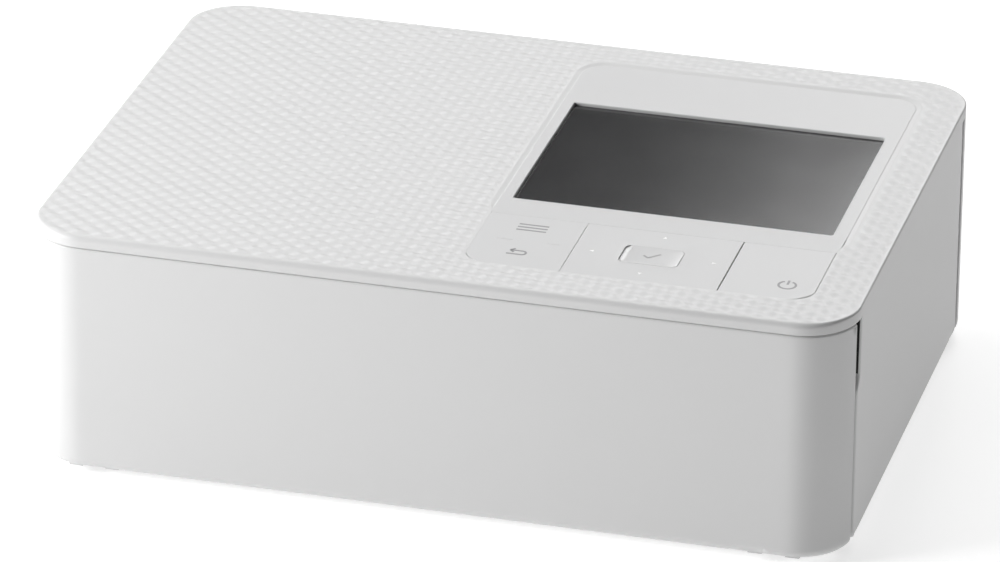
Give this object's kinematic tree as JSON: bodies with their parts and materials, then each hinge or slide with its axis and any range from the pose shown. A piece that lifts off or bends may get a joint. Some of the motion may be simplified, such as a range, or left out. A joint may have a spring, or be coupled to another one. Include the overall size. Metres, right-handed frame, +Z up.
{
  "type": "compact photo printer",
  "caption": "Compact dye-sublimation photo printer: drop-down front cover, side ink door, flat top screen and rocking keys, with its print mechanism inside.",
  "frame": {"origin": "on the table under the middle of the body's box", "axes": "+Z up, the front cover faces -Y, +X is to the right seen from the front, where the ink door is"},
  "size_m": [0.1822, 0.133, 0.0576],
  "materials": {
    "white_shell": "fine satin moulded plastic, staggered low bumps on the top face",
    "panel_white": "smooth satin moulded plastic",
    "steel": "zinc-plated sheet and ground shafts",
    "black_plastic": "black moulded plastic",
    "black_rubber": "soft matt rubber",
    "board": "solder-masked circuit board",
    "natural_plastic": "unpainted acetal and ABS",
    "screen_glass": "dark clear cover over the screen, glossy",
    "aluminium": "extruded, plain",
    "brass": "machined",
    "film": "thin tinted film"
  },
  "bodies": {
    "case": {"top_cover": "white_shell", "base_tray": "white_shell", "left_panel": "white_shell", "rear_panel": "white_shell", "front_cover_pins": "steel", "side_door_pins": "steel", "display_bezel": "panel_white", "display_glass": "screen_glass", "lcd_module": "steel", "panel_frame": "natural_plastic", "key_mat": "black_rubber", "panel_board": "board", "main_board": "board", "board_screws": "steel", "dc_inlet": "black_plastic", "usb_socket": "steel", "card_slot": "steel", "rubber_feet": "black_rubber", "case_screws": "steel", "left_frame": "steel", "right_frame": "steel", "gear_plate": "steel", "tie_bars": "steel", "paper_deck": "natural_plastic", "head_pivot_shaft": "steel", "feed_motor": "steel", "idler_pin": "steel", "ribbon_motor": "steel", "ink_cassette": "black_plastic", "ink_ribbon": "film", "display_cable": "film"},
    "front_cover": {"front_cover": "white_shell"},
    "side_door": {"side_door": "white_shell"},
    "left_key": {"left_key": "panel_white"},
    "cross_key_carrier": {"cross_key_carrier": "natural_plastic"},
    "cross_key": {"cross_key": "panel_white"},
    "ok_key": {"ok_key": "panel_white"},
    "right_key": {"right_key": "panel_white"},
    "platen": {"platen_roller": "black_rubber", "platen_shaft": "steel"},
    "capstan": {"capstan_roller": "steel", "capstan_gear": "natural_plastic"},
    "pinch_roller": {"pinch_roller": "steel"},
    "pickup": {"pickup_roller": "black_rubber", "pickup_shaft": "steel"},
    "print_head": {"thermal_head": "black_plastic", "head_heatsink": "aluminium", "head_arm": "steel"},
    "feed_pinion": {"feed_pinion": "brass"},
    "idler_gear": {"idler_gear": "natural_plastic"},
    "ribbon_pinion": {"ribbon_pinion": "brass"},
    "take_up": {"take_up_gear": "natural_plastic", "take_up_spool": "black_plastic"},
    "supply_spool": {"supply_spool": "black_plastic"},
    "eject_lever": {"eject_lever": "natural_plastic"}
  },
  "joints": [
    {"name": "front_cover_hinge", "type": "hinge", "parent": "case", "child": "front_cover", "pos_m": [0, -0.0633, 0.0048], "axis": [1, 0, 0], "range_deg": [0, 90]},
    {"name": "side_door_hinge", "type": "hinge", "parent": "case", "child": "side_door", "pos_m": [0.0879, 0.05, 0.028], "axis": [0, 0, 1], "range_deg": [0, 95]},
    {"name": "left_key_rock", "type": "hinge", "parent": "case", "child": "left_key", "pos_m": [0.0145, -0.04208, 0.0555], "axis": [1, 0, 0], "range_deg": [-2.5, 2.5], "stiffness_Nm_per_rad": 0.2},
    {"name": "cross_key_up_down", "type": "hinge", "parent": "case", "child": "cross_key_carrier", "pos_m": [0.04265, -0.042, 0.0543], "axis": [1, 0, 0], "range_deg": [-1.8, 1.8], "stiffness_Nm_per_rad": 0.3},
    {"name": "cross_key_left_right", "type": "hinge", "parent": "cross_key_carrier", "child": "cross_key", "pos_m": [0.04265, -0.042, 0.055], "axis": [0, 1, 0], "range_deg": [-1.8, 1.8], "stiffness_Nm_per_rad": 0.3},
    {"name": "ok_key_press", "type": "slide", "parent": "case", "child": "ok_key", "axis": [0, 0, -1], "range_m": [0, 0.0005], "stiffness_N_per_m": 1500},
    {"name": "right_key_press", "type": "hinge", "parent": "case", "child": "right_key", "pos_m": [0.07, -0.0309, 0.0553], "axis": [1, 0, 0], "range_deg": [0, 1.8], "stiffness_Nm_per_rad": 0.4},
    {"name": "platen_spin", "type": "hinge", "parent": "case", "child": "platen", "pos_m": [0, 0.01, 0.0118], "axis": [1, 0, 0], "continuous": true},
    {"name": "capstan_spin", "type": "hinge", "parent": "case", "child": "capstan", "pos_m": [0, 0.052, 0.0144], "axis": [1, 0, 0], "continuous": true},
    {"name": "pinch_spin", "type": "hinge", "parent": "case", "child": "pinch_roller", "pos_m": [0, 0.052, 0.02175], "axis": [1, 0, 0], "continuous": true},
    {"name": "pickup_spin", "type": "hinge", "parent": "case", "child": "pickup", "pos_m": [0, -0.033, 0.0205], "axis": [1, 0, 0], "continuous": true},
    {"name": "head_lift", "type": "hinge", "parent": "case", "child": "print_head", "pos_m": [0, 0.054, 0.041], "axis": [1, 0, 0], "range_deg": [-5, 0]},
    {"name": "feed_pinion_spin", "type": "hinge", "parent": "case", "child": "feed_pinion", "pos_m": [-0.06, 0.0156, 0.02105], "axis": [1, 0, 0], "continuous": true},
    {"name": "idler_spin", "type": "hinge", "parent": "case", "child": "idler_gear", "pos_m": [-0.06, 0.0326, 0.0256], "axis": [1, 0, 0], "continuous": true},
    {"name": "ribbon_pinion_spin", "type": "hinge", "parent": "case", "child": "ribbon_pinion", "pos_m": [-0.06, -0.03202, 0.01673], "axis": [1, 0, 0], "continuous": true},
    {"name": "take_up_spin", "type": "hinge", "parent": "case", "child": "take_up", "pos_m": [0, -0.018, 0.031], "axis": [1, 0, 0], "continuous": true},
    {"name": "supply_spin", "type": "hinge", "parent": "case", "child": "supply_spool", "pos_m": [0, 0.034, 0.031], "axis": [1, 0, 0], "continuous": true},
    {"name": "eject_lever_swing", "type": "hinge", "parent": "case", "child": "eject_lever", "pos_m": [0.0815, -0.0385, 0.03], "axis": [0, 0, 1], "range_deg": [-25, 0], "stiffness_Nm_per_rad": 0.01}
  ],
  "couplings": [
    {"joint": "idler_spin", "follows": "capstan_spin", "ratio": -0.75},
    {"joint": "feed_pinion_spin", "follows": "capstan_spin", "ratio": 2},
    {"joint": "ribbon_pinion_spin", "follows": "take_up_spin", "ratio": -2.5714}
  ]
}
